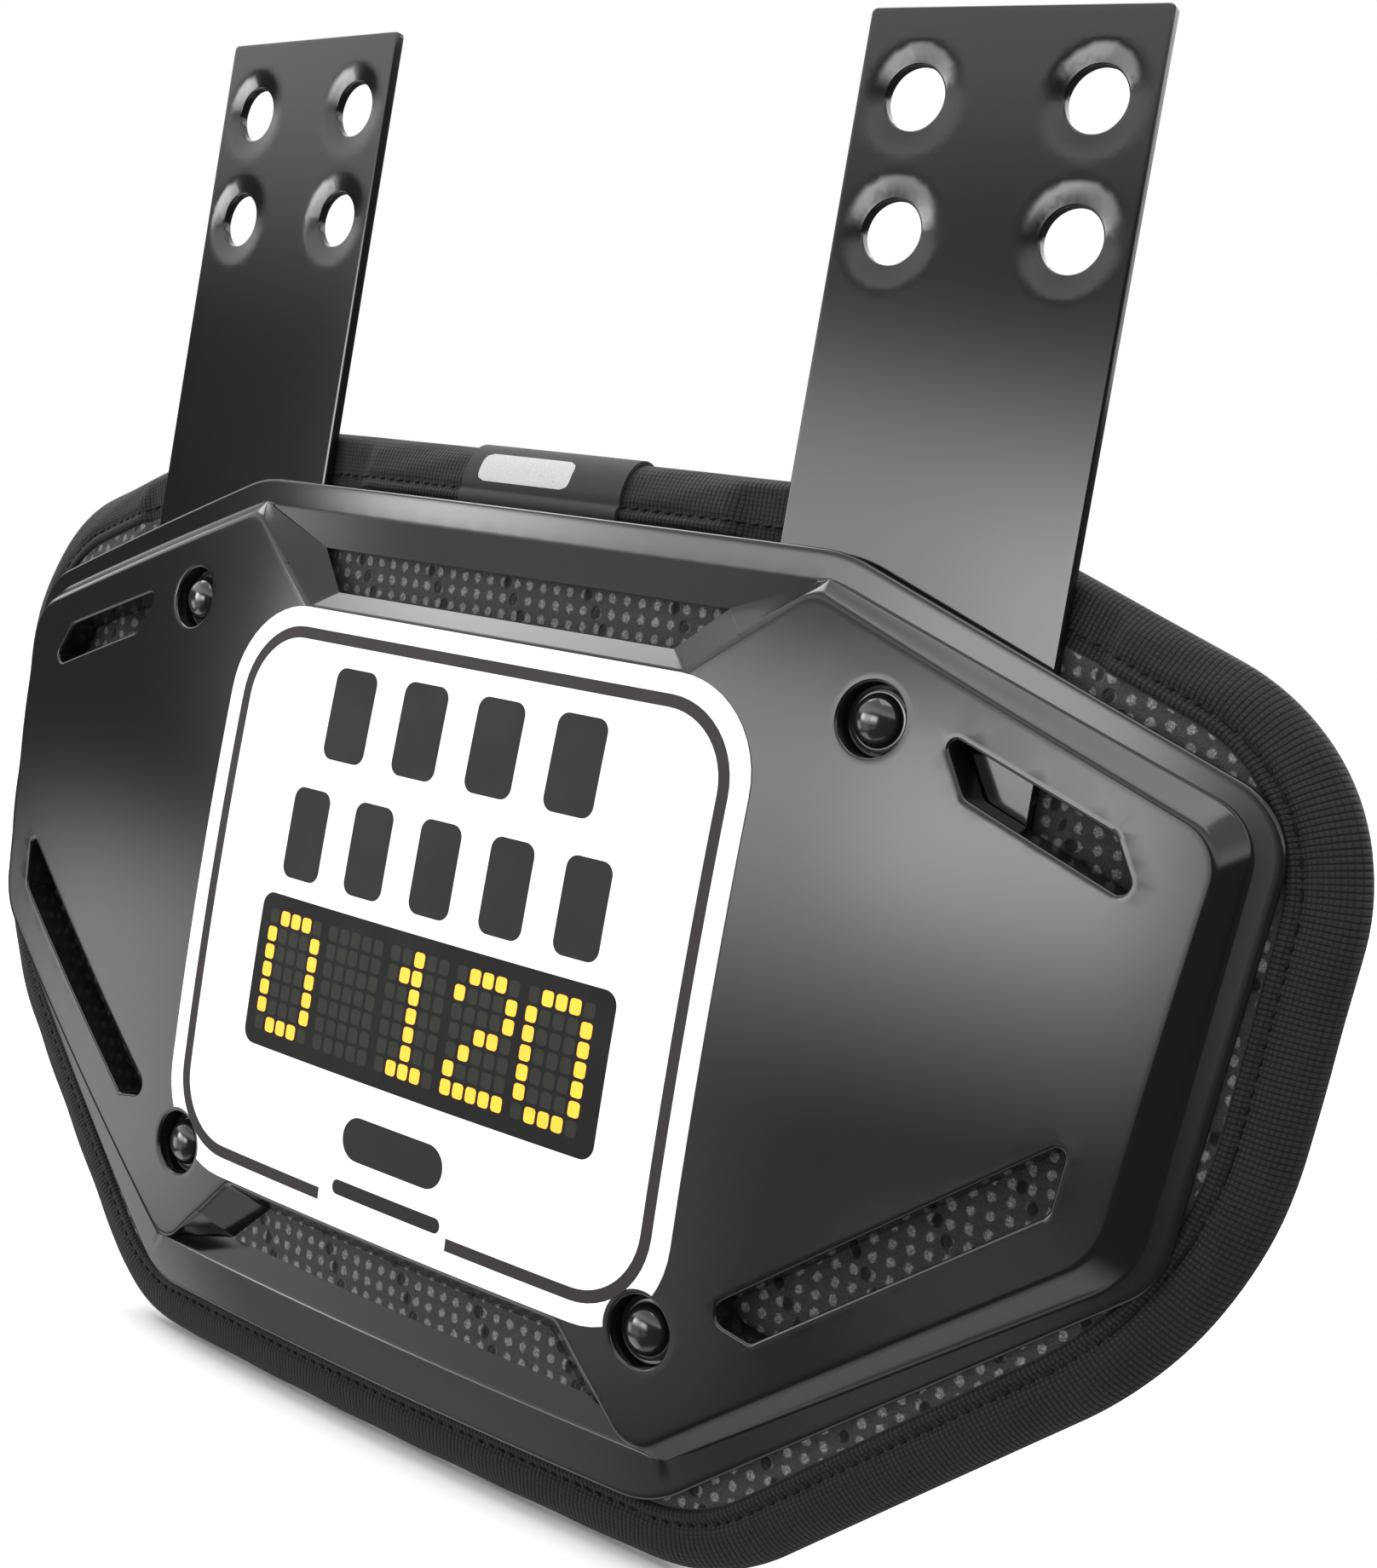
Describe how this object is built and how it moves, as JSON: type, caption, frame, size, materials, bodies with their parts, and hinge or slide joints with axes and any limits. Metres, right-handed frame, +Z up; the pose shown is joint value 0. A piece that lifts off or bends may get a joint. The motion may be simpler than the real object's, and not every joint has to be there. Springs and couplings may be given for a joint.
{
  "type": "football back plate",
  "caption": "Lower-back plate for football shoulder pads: a domed vented shell over a quilted pad, hung from two flat straps that swivel on posts.",
  "frame": {"origin": "middle of the pad's rear face, on the symmetry plane and level with the middle of the four posts", "axes": "+X across the wearer's back, to the right as seen from behind the wearer, +Y towards the wearer, so the printed face looks along -Y, and +Z up"},
  "size_m": [0.2998, 0.0317, 0.2454],
  "materials": {
    "shell": "satin black moulded polyethylene",
    "sign_print": "printed vinyl film, white with dark print",
    "strap_plastic": "satin black nylon",
    "post_black": "black coated steel",
    "screw_steel": "zinc plated",
    "washer_white": "natural nylon",
    "spacer_black": "black nylon",
    "carrier_sheet": "natural polyethylene sheet",
    "mesh": "dark grey knitted spacer mesh",
    "foam": "closed-cell foam",
    "liner": "brushed black knit",
    "binding": "black woven binding tape",
    "tab": "woven tab"
  },
  "bodies": {
    "plate": {"front_shell": "shell", "sign_film": "sign_print", "upper_left_post": "post_black", "upper_right_post": "post_black", "lower_left_post": "post_black", "lower_right_post": "post_black", "upper_left_screw": "screw_steel", "upper_right_screw": "screw_steel", "lower_left_screw": "screw_steel", "lower_right_screw": "screw_steel", "left_friction_washer": "washer_white", "right_friction_washer": "washer_white", "left_strap_bush": "spacer_black", "right_strap_bush": "spacer_black", "lower_left_spacer": "spacer_black", "lower_right_spacer": "spacer_black", "carrier_plate": "carrier_sheet", "mesh_face": "mesh", "front_foam": "foam", "rear_foam": "foam", "hex_pods": "foam", "rear_liner": "liner", "edge_binding": "binding", "label_tab": "tab"},
    "left_hanger": {"left_strap": "strap_plastic"},
    "right_hanger": {"right_strap": "strap_plastic"}
  },
  "joints": [
    {"name": "left_strap_pivot", "type": "hinge", "parent": "plate", "child": "left_hanger", "pos_m": [-0.07718, -0.00779, 0.05], "axis": [0.0785, 0.9969, 0], "range_deg": [-15, 15]},
    {"name": "right_strap_pivot", "type": "hinge", "parent": "plate", "child": "right_hanger", "pos_m": [0.07718, -0.00779, 0.05], "axis": [-0.0785, 0.9969, 0], "range_deg": [-15, 15]}
  ]
}
